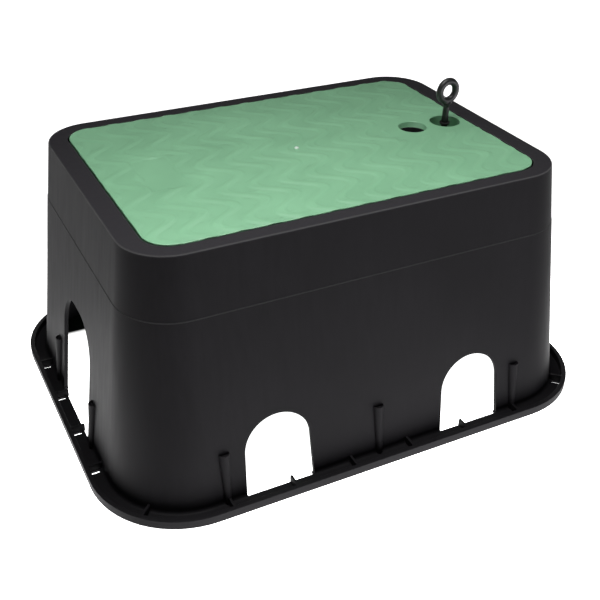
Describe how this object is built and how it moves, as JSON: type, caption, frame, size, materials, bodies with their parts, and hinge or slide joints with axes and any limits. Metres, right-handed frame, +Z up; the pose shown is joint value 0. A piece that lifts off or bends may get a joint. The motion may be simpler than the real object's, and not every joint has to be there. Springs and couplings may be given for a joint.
{
  "type": "irrigation valve box",
  "caption": "Rectangular in-ground valve box: drafted open-bottom body with pipe arches and foot flange, lift-off lid and screw-down eye bolt.",
  "frame": {"origin": "centre of the underside, on the ground", "axes": "+Z up, X along the long side with the bolt end at +X"},
  "size_m": [0.656, 0.504, 0.3625],
  "materials": {
    "black_polyethylene": "moulded, faint drag lines",
    "green_polyethylene": "moulded, satin",
    "black_nylon": "moulded, slight sheen",
    "plated_steel": "zinc plated"
  },
  "bodies": {
    "box": {"box_body": "black_polyethylene", "clip_nut": "plated_steel"},
    "lid": {"lid": "green_polyethylene"},
    "bolt_carrier": {"snap_washer": "black_nylon"},
    "bolt": {"eye_bolt": "black_nylon"}
  },
  "joints": [
    {"name": "lid_lift", "type": "slide", "parent": "box", "child": "lid", "axis": [0, 0, 1], "range_m": [0, 0.12]},
    {"name": "bolt_travel", "type": "slide", "parent": "lid", "child": "bolt_carrier", "axis": [0, 0, 1], "range_m": [-0.025, 0.012]},
    {"name": "bolt_turn", "type": "hinge", "parent": "bolt_carrier", "child": "bolt", "pos_m": [0.2155, 0, 0.305], "axis": [0, 0, 1], "range_deg": [-3000, 1440]}
  ],
  "couplings": [
    {"joint": "bolt_turn", "follows": "bolt_travel", "rad_per_m": 2094.4}
  ]
}
